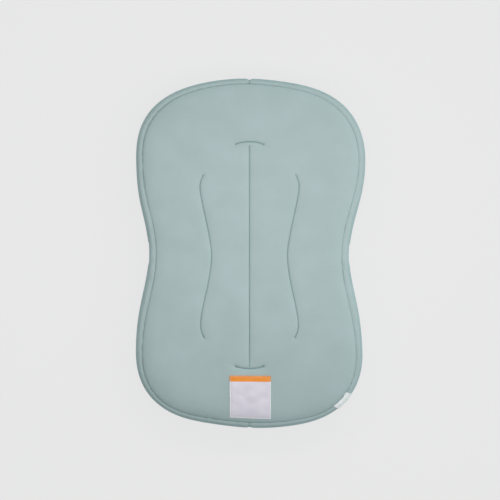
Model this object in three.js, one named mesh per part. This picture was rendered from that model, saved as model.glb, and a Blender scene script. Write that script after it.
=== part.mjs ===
// Infant lounger, laid face down: the flat base panel is on top and the padded ring rests on the floor.
//
// Millimetres, +Z up. X is the width, +Y points to the head end, and the origin is on the floor under
// the middle. The part is sewn from flat pieces: a base panel, two covers that wrap the stuffed ring and
// meet at the head and the foot, and a sling in two halves that closes the middle of the ring. Every
// plan curve is one hourglass: four cubic spans a side, between the head, the shoulder, the waist, the
// hip and the foot.

import * as THREE from 'three';
import { mergeVertices } from 'three/addons/utils/BufferGeometryUtils.js';

// Overall sizes
const overallLength = 737;
const overallWidth = 483;
const overallThickness = 120;

// Outline: widths at the waist and the hip, and how far up the length each place lies
const waistWidth = 422;
const hipWidth = 477;
const shoulderRise = 197;
const waistDrop = 4;
const hipDrop = 208;

// Band: the strip of cover that shows outside the rim seam, seen from above
const bandAtHead = 10.5;
const bandAtShoulder = 12.5;
const bandAtWaist = 15.5;
const bandAtHip = 12.5;
const bandAtFoot = 10.5;

// Padded ring: its width at each place, and where its inner edge is widest
const ringAtHead = 133.5;
const ringAtShoulder = 137;
const ringAtWaist = 131;
const ringAtHip = 135.5;
const ringAtFoot = 125;
const slingShoulderRise = 140;
const slingHipDrop = 153;

// Section of the ring: how high it is widest, how far its inner wall leans in, and its flat rest
const outerBulgeHeight = 57;
const innerBulgeHeight = 52;
const innerBulge = 10;
const restWidth = 15;
const crownShare = 0.52;

// Fabric
const baseThickness = 4;
const coverThickness = 2;
const slingThickness = 2.5;
const slingBillow = 4;
const billowReach = 40;
const seamAllowance = 6;
const slingSeamInset = 3;

// Rim of the base panel: its flat underside stays level, and the seam pinches its padding thin
const rimDrop = 2.5;
const rimSlope = 36;

// Rows stitched through the base panel and the sling
const creaseDepth = 2.5;
const creaseReach = 7;
const headRowHalf = 33;
const footRowHalf = 31;
const sideRowTop = 167;
const sideRowBottom = 178;

// Joins of the two covers, and the sewing thread
const joinDepth = 2.5;
const joinReach = 10;
const threadWidth = 1.6;
const seatGap = 0.3;

// Care patch and side tag, both bare
const patchWidth = 82;
const patchLength = 89;
const patchThickness = 0.8;
const patchFootMargin = 7;
const patchSeat = 0.5;
const tagWidth = 42;
const tagThickness = 0.9;
const tagFromHip = 33;

// Handle lengths of the cubic spans, as shares of each span's width or length
const outlineHandleShares = [[0.93, 0.33], [0.46, 0.38], [0.34, 0.5], [0.33, 0.93]];
const rimHandleShares = [[0.93, 0.31], [0.4, 0.38], [0.36, 0.4], [0.4, 0.93]];
const rowHandleShares = [[0.57, 0.29], [0.18, 0.26], [0.35, 0.26], [0.28, 0.62]];

// Facets: stations along each span, and steps round each quarter of the ring's section
const spanSteps = [8, 4, 4, 8];
const quarterSteps = 3;

// Colours
const sageGreen = 0xabbdbc;
const sageThread = 0x8ea5a4;
const fibreWhite = 0xf2f1ec;
const patchWhite = 0xe4e1e6;
const tagWhite = 0xf4f5f6;

// Levels worked out from the sizes above
const halfGap = seatGap / 2;
const threadHalf = threadWidth / 2;
const rimLevel = overallThickness - rimDrop;
const panelUnderside = overallThickness - baseThickness;
const slingTop = panelUnderside - seatGap;
const seamLevel = slingTop - slingThickness - seatGap;
const restHalf = restWidth / 2;

// The base panel's mesh has a line at this share of a crease's reach
const creaseLineShare = 3 / 7;
const creaseLine = creaseLineShare * creaseReach;

// One side of an hourglass: four cubic spans from the head's middle round to the foot's middle
function hourglass(sizes, handleShares) {
  const { head, shoulder, waist, hip, foot } = sizes;
  const places = [head, shoulder, waist, hip, foot];
  return handleShares.map(([startShare, endShare], index) => {
    const start = places[index];
    const end = places[index + 1];
    const width = Math.abs(end.x - start.x);
    const length = start.y - end.y;
    const leavesLevel = index === 0;
    const arrivesLevel = index === places.length - 2;
    const startHandle = leavesLevel
      ? new THREE.Vector2(start.x + width * startShare, start.y)
      : new THREE.Vector2(start.x, start.y - length * startShare);
    const endHandle = arrivesLevel
      ? new THREE.Vector2(end.x + width * endShare, end.y)
      : new THREE.Vector2(end.x, end.y + length * endShare);
    return new THREE.CubicBezierCurve(start, startHandle, endHandle, end);
  });
}

const outlineSizes = {
  head: new THREE.Vector2(0, overallLength / 2),
  shoulder: new THREE.Vector2(overallWidth / 2, shoulderRise),
  waist: new THREE.Vector2(waistWidth / 2, -waistDrop),
  hip: new THREE.Vector2(hipWidth / 2, -hipDrop),
  foot: new THREE.Vector2(0, -overallLength / 2),
};

// The outline drawn in by a given width at each place, with its shoulder and hip kept level or moved
function drawnIn(atHead, atShoulder, atWaist, atHip, atFoot, shoulderY, hipY) {
  return {
    head: new THREE.Vector2(0, outlineSizes.head.y - atHead),
    shoulder: new THREE.Vector2(outlineSizes.shoulder.x - atShoulder, shoulderY),
    waist: new THREE.Vector2(outlineSizes.waist.x - atWaist, -waistDrop),
    hip: new THREE.Vector2(outlineSizes.hip.x - atHip, hipY),
    foot: new THREE.Vector2(0, outlineSizes.foot.y + atFoot),
  };
}

const outlineSpans = hourglass(outlineSizes, outlineHandleShares);
const rimSpans = hourglass(
  drawnIn(bandAtHead, bandAtShoulder, bandAtWaist, bandAtHip, bandAtFoot, shoulderRise, -hipDrop),
  rimHandleShares,
);
const rowSpans = hourglass(
  drawnIn(ringAtHead, ringAtShoulder, ringAtWaist, ringAtHip, ringAtFoot, slingShoulderRise, -slingHipDrop),
  rowHandleShares,
);

// The place along one of a curve's spans where a falling or rising measure of its point passes a value
function placeWhere(spans, spanIndex, measure, value) {
  const span = spans[spanIndex];
  const rises = measure(span.getPoint(1)) > measure(span.getPoint(0));
  let low = 0;
  let high = 1;
  for (let step = 0; step < 40; step += 1) {
    const middle = (low + high) / 2;
    const below = measure(span.getPoint(middle)) < value;
    if (below === rises) low = middle;
    else high = middle;
  }
  return spanIndex + (low + high) / 2;
}

const lastSpan = spanSteps.length - 1;
const sideways = (point) => point.x;
const upwards = (point) => point.y;
const headRowEnd = placeWhere(rowSpans, 0, sideways, headRowHalf);
const sideRowStart = placeWhere(rowSpans, 0, upwards, sideRowTop);
const sideRowEnd = placeWhere(rowSpans, lastSpan, upwards, -sideRowBottom);
const footRowStart = placeWhere(rowSpans, lastSpan, sideways, footRowHalf);
const headJoinEnd = placeWhere(outlineSpans, 0, sideways, joinReach);
const footJoinStart = placeWhere(outlineSpans, lastSpan, sideways, joinReach);

// Stations from the head (0) to the foot (4): even steps in each span, the rows' ends and the joins
function makeStations() {
  const even = spanSteps.flatMap((steps, span) =>
    Array.from({ length: steps }, (_, step) => span + step / steps));
  const rowEnds = [headRowEnd, sideRowStart, sideRowEnd, footRowStart];
  const joins = [headJoinEnd, footJoinStart];
  const clear = even.filter((place) =>
    rowEnds.every((end) => Math.abs(place - end) > 1 / (4 * spanSteps[0])));
  return [...clear, ...rowEnds, ...joins, spanSteps.length].sort((a, b) => a - b);
}

function pointAt(spans, place) {
  const span = Math.min(Math.floor(place), lastSpan);
  return spans[span].getPoint(place - span);
}

// What a station holds: its points on the outline, the rim seam and the stitched hourglass, the
// direction across the ring, and the places that shape the ring's section
function stationAt(place) {
  const outline = pointAt(outlineSpans, place);
  const rim = pointAt(rimSpans, place);
  const row = pointAt(rowSpans, place);
  const across = outline.clone().sub(row).normalize();
  const crown = row.clone().lerp(outline, crownShare);
  return {
    place,
    outline,
    rim,
    row,
    across,
    crownOuter: crown.clone().addScaledVector(across, restHalf),
    crownInner: crown.clone().addScaledVector(across, -restHalf),
    wall: row.clone().addScaledVector(across, -innerBulge),
  };
}

const stations = makeStations().map(stationAt);
const mirrored = (point) => new THREE.Vector2(-point.x, point.y);
const rightSide = (key) => stations.map((station) => station[key]);
const wholeLoop = (key) => {
  const right = rightSide(key);
  return [...right, ...right.slice(1, -1).reverse().map(mirrored)];
};

// The stitched rows, as lines in plan. The middle row runs between the levels of the head row's ends
// and the foot row's ends.
function rowBetween(start, end) {
  return stations.filter(({ place }) => place >= start && place <= end).map(({ row }) => row);
}

const rightRow = rowBetween(sideRowStart, sideRowEnd);
const headHalfRow = rowBetween(0, headRowEnd);
const footHalfRow = rowBetween(footRowStart, spanSteps.length);
const rows = {
  right: rightRow,
  left: rightRow.map(mirrored),
  head: [...headHalfRow.slice(1).reverse().map(mirrored), ...headHalfRow],
  foot: [...footHalfRow, ...footHalfRow.slice(0, -1).reverse().map(mirrored)],
  centre: [new THREE.Vector2(0, headHalfRow.at(-1).y), new THREE.Vector2(0, footHalfRow[0].y)],
};

function distanceToLine(point, line) {
  let nearest = Infinity;
  for (let index = 0; index + 1 < line.length; index += 1) {
    const along = line[index + 1].clone().sub(line[index]);
    const share = point.clone().sub(line[index]).dot(along) / along.lengthSq();
    const foot = line[index].clone().addScaledVector(along, THREE.MathUtils.clamp(share, 0, 1));
    nearest = Math.min(nearest, foot.distanceTo(point));
  }
  return nearest;
}

const rimLoop = wholeLoop('rim');
rimLoop.push(rimLoop[0]);
const rowLoop = wholeLoop('row');
rowLoop.push(rowLoop[0]);

// How far the panel dips at a point: to the rim seam all round, and into the crease of each row
function rimDip(point) {
  const share = Math.max(0, 1 - distanceToLine(point, rimLoop) / rimSlope);
  return rimDrop * share ** 2;
}

function creaseDip(point) {
  const distance = Math.min(...Object.values(rows).map((line) => distanceToLine(point, line)));
  return creaseDepth * Math.max(0, 1 - distance / creaseReach) ** 2;
}

const panelTop = (point) => overallThickness - rimDip(point) - creaseDip(point);

// Closed bodies from grids of points

const raised = (point, level) => new THREE.Vector3(point.x, point.y, level);

// Adds two triangles for each cell of a grid of vertex numbers; a turned grid faces the other way
function addCells(triangles, grid, turned = false) {
  for (let row = 0; row + 1 < grid.length; row += 1) {
    for (let column = 0; column + 1 < grid[row].length; column += 1) {
      const corners = [
        grid[row][column], grid[row][column + 1], grid[row + 1][column + 1], grid[row + 1][column],
      ];
      const [a, b, c, d] = corners;
      if (turned) triangles.push([a, c, b], [a, d, c]);
      else triangles.push([a, b, c], [a, c, d]);
    }
  }
}

// Merges shared points, drops triangles that closed up, and turns the faces outwards
function closedGeometry(points, triangles) {
  const loose = new THREE.BufferGeometry().setFromPoints(points);
  loose.setIndex(triangles.flat());
  const merged = mergeVertices(loose);
  const corners = Array.from(merged.index.array);
  const at = (index) => new THREE.Vector3().fromBufferAttribute(merged.attributes.position, index);
  const kept = [];
  let volume = 0;
  for (let index = 0; index < corners.length; index += 3) {
    const [a, b, c] = corners.slice(index, index + 3);
    if (a === b || b === c || c === a) continue;
    kept.push([a, b, c]);
    volume += at(a).dot(at(b).cross(at(c)));
  }
  const facing = volume > 0 ? kept : kept.map(([a, b, c]) => [a, c, b]);
  merged.setIndex(facing.flat());
  merged.computeVertexNormals();
  return merged;
}

// A sheet between two grids of points: both faces, and a wall wherever their edges part
function sheetBody(face, back) {
  const points = [];
  const numbered = (grid) => grid.map((line) => line.map((point) => points.push(point) - 1));
  const faceGrid = numbered(face);
  const backGrid = numbered(back);
  const triangles = [];
  addCells(triangles, faceGrid);
  addCells(triangles, backGrid, true);
  const lastLine = faceGrid.length - 1;
  addCells(triangles, [faceGrid.map((line) => line[0]), backGrid.map((line) => line[0])]);
  addCells(triangles, [backGrid.map((line) => line.at(-1)), faceGrid.map((line) => line.at(-1))]);
  if (faceGrid[0].length === backGrid[0].length) {
    addCells(triangles, [backGrid[0], faceGrid[0]]);
    addCells(triangles, [faceGrid[lastLine], backGrid[lastLine]]);
  }
  return closedGeometry(points, triangles);
}

// A ring from its closed sections down one side; the other side is its mirror image
function ringBody(sections) {
  const points = [];
  const triangles = [];
  [1, -1].forEach((side) => {
    const grid = sections.map((section) => section.map((point) =>
      points.push(new THREE.Vector3(side * point.x, point.y, point.z)) - 1));
    addCells(triangles, grid.map((line) => [...line, line[0]]), side < 0);
  });
  return closedGeometry(points, triangles);
}

// A line of thread: a small four-sided section along a path. A level path has its own side direction;
// a path in an upright plane is given one.
function threadBody(path, closed, fixedSide) {
  const points = [];
  const count = path.length;
  const grid = path.map((point, index) => {
    const before = path[closed ? (index + count - 1) % count : Math.max(index - 1, 0)];
    const after = path[closed ? (index + 1) % count : Math.min(index + 1, count - 1)];
    const tangent = after.clone().sub(before).normalize();
    const side = fixedSide ?? new THREE.Vector3(tangent.y, -tangent.x, 0).normalize();
    const up = side.clone().cross(tangent).normalize();
    return [side, up, side.clone().negate(), up.clone().negate()].map((direction) =>
      points.push(point.clone().addScaledVector(direction, threadHalf)) - 1);
  });
  const wrapped = grid.map((line) => [...line, line[0]]);
  const triangles = [];
  addCells(triangles, closed ? [...wrapped, wrapped[0]] : wrapped);
  if (!closed) {
    const [a, b, c, d] = grid[0];
    const [e, f, g, h] = grid.at(-1);
    triangles.push([a, c, b], [a, d, c], [e, f, g], [e, g, h]);
  }
  return closedGeometry(points, triangles);
}

// Section of the ring, drawn in by a given depth: from the rim seam over the outer side, across the
// flat rest, up the inner wall and onto the seam allowance under the sling
const turns = Array.from({ length: quarterSteps + 1 }, (_, step) =>
  (step / quarterSteps) * (Math.PI / 2));

function outerShoulder(station, inset, angle) {
  const reach = station.outline.clone().addScaledVector(station.across, -inset).sub(station.rim);
  const place = station.rim.clone().addScaledVector(reach, Math.sin(angle));
  const level = outerBulgeHeight + (rimLevel - inset - outerBulgeHeight) * Math.cos(angle);
  return raised(place, level);
}

function outerSide(station, inset, angle) {
  const reach = station.outline.clone().addScaledVector(station.across, -inset).sub(station.crownOuter);
  const place = station.crownOuter.clone().addScaledVector(reach, Math.cos(angle));
  return raised(place, outerBulgeHeight - (outerBulgeHeight - inset) * Math.sin(angle));
}

function innerSide(station, inset, angle) {
  const reach = station.wall.clone().addScaledVector(station.across, inset).sub(station.crownInner);
  const place = station.crownInner.clone().addScaledVector(reach, Math.sin(angle));
  return raised(place, innerBulgeHeight - (innerBulgeHeight - inset) * Math.cos(angle));
}

function innerShoulder(station, inset, angle) {
  const reach = station.wall.clone().addScaledVector(station.across, inset).sub(station.row);
  const place = station.row.clone().addScaledVector(reach, Math.cos(angle));
  const level = innerBulgeHeight + (seamLevel - inset - innerBulgeHeight) * Math.sin(angle);
  return raised(place, level);
}

function ringSection(station, inset) {
  return [
    ...turns.map((angle) => outerShoulder(station, inset, angle)),
    ...turns.slice(1).map((angle) => outerSide(station, inset, angle)),
    ...turns.map((angle) => innerSide(station, inset, angle)),
    ...turns.slice(1).map((angle) => innerShoulder(station, inset, angle)),
    raised(station.row.clone().addScaledVector(station.across, seamAllowance), seamLevel - inset),
  ];
}

// The covers dip where they meet at the head and the foot
const joinInset = (index) => (index === 0 || index === stations.length - 1 ? joinDepth : 0);

// Flips a grid of points to the other side of the middle
const onSide = (grid, side) => grid.map((line) =>
  line.map((point) => new THREE.Vector3(side * Math.max(point.x, halfGap), point.y, point.z)));

// Base panel: one flat piece, drawn down to the rim seam and into the creases of the stitched rows
function basePanel() {
  const rightLine = ({ row, rim, across }) => {
    const nearSpan = Math.min(creaseReach, row.x * creaseLineShare);
    const nearLine = nearSpan * creaseLineShare;
    const edge = rim.clone().addScaledVector(across, -halfGap);
    const ring = edge.distanceTo(row);
    const outwards = edge.clone().sub(row).normalize();
    const along = (distance) => row.clone().addScaledVector(outwards, distance);
    const level = (x) => new THREE.Vector2(x, row.y);
    const slopeShares = [1, 2 / 3, 1 / 3, 1 / 9];
    return {
      inside: [
        level(nearLine), level(nearSpan), level(row.x - nearSpan), level(row.x - nearLine), row,
      ],
      outside: [
        along(creaseLine), along(creaseReach),
        ...slopeShares.map((share) => along(ring - rimSlope * share)), edge,
      ],
      bottom: [row, edge],
    };
  };
  const face = stations.map((station) => {
    const { inside, outside } = rightLine(station);
    const right = [...inside, ...outside];
    const middle = new THREE.Vector2(0, station.row.y);
    return [...right.map(mirrored).reverse(), middle, ...right].map((point) =>
      raised(point, panelTop(point)));
  });
  const back = stations.map((station) => {
    const { bottom } = rightLine(station);
    return [...bottom.map(mirrored).reverse(), ...bottom].map((point) =>
      raised(point, panelUnderside));
  });
  return sheetBody(face, back);
}

// Half of the ring's cover: a fabric shell from the rim seam to the sling, open towards the fill
function bolsterCover(side) {
  const shell = (depth) => stations.map((station, index) => {
    const section = ringSection(station, depth + joinInset(index));
    section[0].x += station.across.x * halfGap;
    section[0].y += station.across.y * halfGap;
    return section;
  });
  return sheetBody(onSide(shell(0), side), onSide(shell(coverThickness), side));
}

// Stuffing of the ring: one continuous roll inside the covers, under the base panel
function bolsterFill() {
  const depth = coverThickness + seatGap;
  const sectionAt = (station, index) => {
    const section = ringSection(station, depth + joinInset(index));
    const beyond = (distance) => station.row.clone().addScaledVector(station.across, distance);
    section.pop();
    const ledge = section.at(-1).z;
    section.push(
      raised(beyond(seamAllowance + seatGap), ledge),
      raised(beyond(2 * seamAllowance), slingTop),
    );
    return section;
  };
  return ringBody(stations.map(sectionAt));
}

// Half of the sling: flat against the base panel, and billowing softly between its seams
const billowAt = (distance) => slingBillow * (1 - Math.max(0, 1 - distance / billowReach) ** 2);

function slingPanel(side) {
  const columnShares = [0, 0.25, 0.6, 1];
  const plan = stations.map(({ row, across }) => [
    ...columnShares.map((share) => new THREE.Vector2(row.x * share, row.y)),
    row.clone().addScaledVector(across, seamAllowance),
  ]);
  const billow = (point, column) => {
    if (column >= columnShares.length - 1) return 0;
    return billowAt(Math.min(point.x, distanceToLine(point, rowLoop)));
  };
  const back = plan.map((line) => line.map((point) => raised(point, slingTop)));
  const face = plan.map((line) => line.map((point, column) =>
    raised(point, slingTop - slingThickness - billow(point, column))));
  return sheetBody(onSide(face, side), onSide(back, side));
}

// Thread of a stitched row, lying at the bottom of its crease
const creaseFall = creaseDepth * (1 - (1 - creaseLineShare) ** 2);
const creaseThreadRise = (threadHalf + seatGap) * Math.hypot(1, creaseFall / creaseLine);

function rowThread(line) {
  const level = overallThickness - creaseDepth + creaseThreadRise;
  return threadBody(line.map((point) => raised(point, level)), false);
}

// Thread of the rim seam, in the groove between the base panel and the covers
function rimThread() {
  const level = rimLevel + threadHalf + seatGap;
  return threadBody(wholeLoop('rim').map((point) => raised(point, level)), true);
}

// Thread of the sling's seam, in the corner where the ring's inner wall tucks under the sling
function slingThread() {
  const loop = [...stations, ...stations.slice(1, -1).reverse().map((station) => ({
    row: mirrored(station.row),
    across: mirrored(station.across),
  }))];
  const level = slingTop - slingThickness - billowAt(slingSeamInset) - seatGap - threadHalf;
  return threadBody(loop.map(({ row, across }) =>
    raised(row.clone().addScaledVector(across, -slingSeamInset), level)), true);
}

// Thread that joins the two covers over the ring, at the bottom of the dip between them
function joinThread(station) {
  const spread = pointAt(rowSpans, headJoinEnd).x;
  const rise = (threadHalf + seatGap) * Math.hypot(1, joinDepth / spread);
  const section = ringSection(station, joinDepth - rise);
  const path = section.slice(1, -2).map((point) => new THREE.Vector3(0, point.y, point.z));
  return threadBody(path, false, new THREE.Vector3(1, 0, 0));
}

// Care patch: a bare woven square, sewn flat on the base panel just above the foot
function footPatch() {
  const bottom = stations.at(-1).rim.y + patchFootMargin;
  const top = bottom + patchLength;
  const slopeTop = stations.at(-1).rim.y + rimSlope;
  const slopeShares = [1 / 3, 2 / 3, 1];
  const lines = [
    top, (top + slopeTop) / 2,
    ...slopeShares.map((share) => THREE.MathUtils.lerp(slopeTop, bottom, share - slopeShares[0])),
    bottom,
  ];
  const columnShares = [-1 / 2, -1 / 6, 1 / 6, 1 / 2];
  const plan = lines.map((y) => columnShares.map((share) => new THREE.Vector2(patchWidth * share, y)));
  const lifted = (lift) => plan.map((line) => line.map((point) => raised(point, panelTop(point) + lift)));
  return sheetBody(lifted(patchSeat + patchThickness), lifted(patchSeat));
}

// Side tag: a bare folded tab caught in the rim seam, lying down over the cover
function sideTag() {
  const tagAcross = rimSpans[lastSpan].getPoint(0).x - tagFromHip;
  const middle = placeWhere(rimSpans, lastSpan, sideways, tagAcross);
  const tangent = rimSpans[lastSpan].getTangent(middle - lastSpan);
  const halfAcross = Math.abs(tangent.x) * (tagWidth / 2);
  const columnShares = [1, 1 / 2, 0, -1 / 2, -1];
  const places = columnShares.map((share) =>
    placeWhere(rimSpans, lastSpan, sideways, tagAcross + halfAcross * share));
  const turnShares = [0.1, 1 / 3, 2 / 3];
  const skin = (outset) => places.map((place) => {
    const station = stationAt(place);
    return turnShares.map((share) => outerShoulder(station, -outset, (share * Math.PI) / 2));
  });
  return sheetBody(skin(seatGap + tagThickness), skin(seatGap));
}

// Materials and the assembly

const cloth = (colour, roughness) => new THREE.MeshStandardMaterial({
  color: colour, roughness, metalness: 0, side: THREE.FrontSide,
});

const lounger = new THREE.Group();

function addPiece(name, geometry, colour, roughness) {
  const piece = new THREE.Mesh(geometry, cloth(colour, roughness));
  piece.name = name;
  lounger.add(piece);
}

const fabricRoughness = 0.9;
const threadRoughness = 0.6;
const patchRoughness = 0.5;

addPiece('base_panel', basePanel(), sageGreen, fabricRoughness);
addPiece('bolster_cover_right', bolsterCover(1), sageGreen, fabricRoughness);
addPiece('bolster_cover_left', bolsterCover(-1), sageGreen, fabricRoughness);
addPiece('sling_panel_right', slingPanel(1), sageGreen, fabricRoughness);
addPiece('sling_panel_left', slingPanel(-1), sageGreen, fabricRoughness);
addPiece('bolster_fill', bolsterFill(), fibreWhite, 1);
addPiece('rim_seam', rimThread(), sageThread, threadRoughness);
addPiece('sling_seam', slingThread(), sageThread, threadRoughness);
addPiece('head_join_seam', joinThread(stations[0]), sageThread, threadRoughness);
addPiece('foot_join_seam', joinThread(stations.at(-1)), sageThread, threadRoughness);
addPiece('centre_stitch_row', rowThread(rows.centre), sageThread, threadRoughness);
addPiece('head_stitch_row', rowThread(rows.head), sageThread, threadRoughness);
addPiece('foot_stitch_row', rowThread(rows.foot), sageThread, threadRoughness);
addPiece('right_stitch_row', rowThread(rows.right), sageThread, threadRoughness);
addPiece('left_stitch_row', rowThread(rows.left), sageThread, threadRoughness);
addPiece('foot_patch', footPatch(), patchWhite, patchRoughness);
addPiece('side_tag', sideTag(), tagWhite, patchRoughness);

export default lounger;
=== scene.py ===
import bmesh
import bpy
import numpy as np
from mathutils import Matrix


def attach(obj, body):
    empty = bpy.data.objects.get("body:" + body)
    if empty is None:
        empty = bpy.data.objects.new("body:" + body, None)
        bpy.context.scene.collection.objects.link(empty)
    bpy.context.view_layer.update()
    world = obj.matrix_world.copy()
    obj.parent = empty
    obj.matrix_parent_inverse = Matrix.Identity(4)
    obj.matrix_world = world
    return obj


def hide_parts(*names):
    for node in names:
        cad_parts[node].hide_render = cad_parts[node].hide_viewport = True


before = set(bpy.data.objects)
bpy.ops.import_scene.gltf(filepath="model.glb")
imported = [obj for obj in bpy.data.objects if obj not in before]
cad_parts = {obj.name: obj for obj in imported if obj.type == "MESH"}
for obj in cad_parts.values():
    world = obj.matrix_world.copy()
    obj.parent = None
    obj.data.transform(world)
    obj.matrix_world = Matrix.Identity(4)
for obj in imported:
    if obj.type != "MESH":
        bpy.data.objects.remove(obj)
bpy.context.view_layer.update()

# Ring filling: one roll of loose white polyester fibre, bent round into an hourglass and laid inside
# the covers. Every other piece is cut to the same hourglass, so its plan curves are drawn here.

MM = 0.001
overall_length, overall_width, overall_thickness = 737 * MM, 483 * MM, 120 * MM
waist_width, hip_width = 422 * MM, 477 * MM
shoulder_rise, waist_drop, hip_drop = 197 * MM, 4 * MM, 208 * MM
sling_shoulder_rise, sling_hip_drop = 140 * MM, 153 * MM

# At the head, shoulder, waist, hip and foot: the strip outside the rim seam, and the whole ring.
band_widths = np.array([10.5, 12.5, 15.5, 12.5, 10.5]) * MM
ring_widths = np.array([133.5, 137, 131, 135.5, 125]) * MM

outer_bulge_height, inner_bulge_height = 57 * MM, 52 * MM
inner_bulge, rest_width, crown_share = 10 * MM, 15 * MM, 0.52
base_thickness, sling_thickness = 4 * MM, 2.5 * MM
seam_allowance, seat_gap, rim_drop = 6 * MM, 0.3 * MM, 2.5 * MM
rim_level = overall_thickness - rim_drop
panel_underside = overall_thickness - base_thickness
sling_top = panel_underside - seat_gap
seam_level = sling_top - sling_thickness - seat_gap

# For each span of a curve: how long its first and second handles are, as shares of the span.
outline_shares = [[0.93, 0.33], [0.46, 0.38], [0.34, 0.5], [0.33, 0.93]]
rim_shares = [[0.93, 0.31], [0.4, 0.38], [0.36, 0.4], [0.4, 0.93]]
row_shares = [[0.57, 0.29], [0.18, 0.26], [0.35, 0.26], [0.28, 0.62]]

outline_places = np.array([
    [0, overall_length / 2], [overall_width / 2, shoulder_rise], [waist_width / 2, -waist_drop],
    [hip_width / 2, -hip_drop], [0, -overall_length / 2],
])


def drawn_in(widths, shoulder_y, hip_y):
    """The outline's five places moved inwards: down at the head, up at the foot, sideways between."""
    places = outline_places.copy()
    places[0, 1] -= widths[0]
    places[1:4, 0] -= widths[1:4]
    places[4, 1] += widths[4]
    places[1, 1], places[3, 1] = shoulder_y, hip_y
    return places


def hourglass(places, shares):
    """Four cubic spans from the head to the foot. A handle lies level at the head and the foot and
    upright at the other places, and is its share of the span's width or height long."""
    spans, last = [], len(shares) - 1
    for index, (leaves, arrives) in enumerate(shares):
        start, end = places[index], places[index + 1]
        width, height = abs(end[0] - start[0]), start[1] - end[1]
        first = start + ([width * leaves, 0] if index == 0 else [0, -height * leaves])
        second = end + ([width * arrives, 0] if index == last else [0, height * arrives])
        spans.append([start, first, second, end])
    return np.array(spans)


def points_on(spans, places):
    """Cubic spans at places from 0 to 4: (1-t)^3 a + 3 t (1-t)^2 b + 3 t^2 (1-t) c + t^3 d."""
    span = np.minimum(places.astype(int), len(spans) - 1)
    t = (places - span)[:, None]
    a, b, c, d = np.moveaxis(spans[span], 1, 0)
    return (1 - t) ** 3 * a + 3 * t * (1 - t) ** 2 * b + 3 * t ** 2 * (1 - t) * c + t ** 3 * d


outline_spans = hourglass(outline_places, outline_shares)
rim_spans = hourglass(drawn_in(band_widths, shoulder_rise, -hip_drop), rim_shares)
row_spans = hourglass(drawn_in(ring_widths, sling_shoulder_rise, -sling_hip_drop), row_shares)


def lengths_along(line):
    """How far along a line of points each point lies: the sum of the steps up to it."""
    steps = np.linalg.norm(np.diff(line, axis=0), axis=1)
    return np.concatenate([[0], np.cumsum(steps)])


def drawn(spans, count):
    """A line of points along cubic spans, at evenly spaced places."""
    return points_on(spans, np.linspace(0, len(spans), count))


def even_places(count, fine_count=4001):
    """Places from the head to the foot, the same way apart along the outline."""
    fine = np.linspace(0, len(outline_spans), fine_count)
    far = lengths_along(points_on(outline_spans, fine))
    return np.interp(np.linspace(0, far[-1], count), far, fine)


def stations_at(places):
    """Per place: points on the outline, the rim seam and the row, and the way across the ring."""
    outline, rim, row = (points_on(spans, places) for spans in (outline_spans, rim_spans, row_spans))
    across = outline - row
    return outline, rim, row, across / np.linalg.norm(across, axis=1)[:, None]


def at_height(plan, height):
    """Plan points given a height: one for all of them, or one for each."""
    height = np.broadcast_to(height, plan.shape[:-1])
    return np.concatenate([plan, height[..., None]], axis=-1)


def swept(hub, end, share, height):
    """Points at plan hub + (end - hub) share, with a height for each station and share."""
    return at_height(hub[:, None] + (end - hub)[:, None] * share[None, :, None], height)


def ring_section(stations, inset, steps, shoulder=1):
    """The ring's section at each station, drawn in by a depth. Four quarter ellipses: the outer
    shoulder from the rim, the outer side down to the flat rest, the inner side up, and the inner
    shoulder to the row. Plan and height go with the sine and cosine of the way round, raised to the
    power shoulder on the outer shoulder, which is fuller where that is less than one. Its points go
    round by u^k / (u^k + (1 - u)^k), with k = 1 / shoulder, so that they stay about as far apart."""
    outline, rim, row, across = stations
    inset = np.broadcast_to(inset, len(row))[:, None]
    turn = np.linspace(0, np.pi / 2, steps + 1)
    sine, cosine = np.sin(turn), np.cos(turn)
    near, far = turn ** (1 / shoulder), turn[::-1] ** (1 / shoulder)
    full_turn = np.pi / 2 * near / (near + far)
    full_sine = np.sin(full_turn) ** shoulder
    full_cosine = np.clip(np.cos(full_turn), 0, 1) ** shoulder
    crown = row + (outline - row) * crown_share
    outer_crown, inner_crown = (crown + across * side * rest_width / 2 for side in (1, -1))
    outer, inner = outline - inset * across, row + (inset - inner_bulge) * across
    over = rim_level - inset - outer_bulge_height
    under = seam_level - inset - inner_bulge_height
    outer_fall, inner_fall = outer_bulge_height - inset, inner_bulge_height - inset
    return np.concatenate([
        swept(rim, outer, full_sine, outer_bulge_height + over * full_cosine),
        swept(outer_crown, outer, cosine, outer_bulge_height - outer_fall * sine)[:, 1:],
        swept(inner_crown, inner, sine, inner_bulge_height - inner_fall * cosine),
        swept(row, inner, cosine, inner_bulge_height + under * sine)[:, 1:],
    ], axis=1)


def other_side(points):
    """The same points on the other side of the lounger's middle."""
    return points * np.array([-1, 1, 1][:points.shape[-1]])


def whole_loop(right):
    """Rows of points down the right side, then back up the left one."""
    return np.concatenate([right, other_side(right[-2:0:-1])])


wave_count, wave_spread = 12, (0.7, 1.6)


def waves(points, length, seed):
    """Uneven swelling of about -1 to 1: the sum of plane waves of about one length over the root of
    their count, with directions, exact lengths and phases drawn from the seed."""
    draw = np.random.default_rng(seed)
    ways = draw.normal(size=(wave_count, points.shape[-1]))
    ways /= np.linalg.norm(ways, axis=1)[:, None] * length * draw.uniform(*wave_spread, (wave_count, 1))
    phases = draw.uniform(0, 2 * np.pi, wave_count)
    return np.sin(2 * np.pi * points @ ways.T + phases).sum(-1) / np.sqrt(wave_count)


def cells(numbers):
    """The four corners of each cell in a grid, or a row of grids, of vertex numbers."""
    near, far = numbers[..., :-1, :], numbers[..., 1:, :]
    corners = near[..., :-1], near[..., 1:], far[..., 1:], far[..., :-1]
    return np.stack(corners, -1).reshape(-1, 4)


def numbered(points, first=0):
    """Vertex numbers for a grid of points."""
    return np.arange(points[..., 0].size).reshape(points.shape[:-1]) + first


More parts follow.
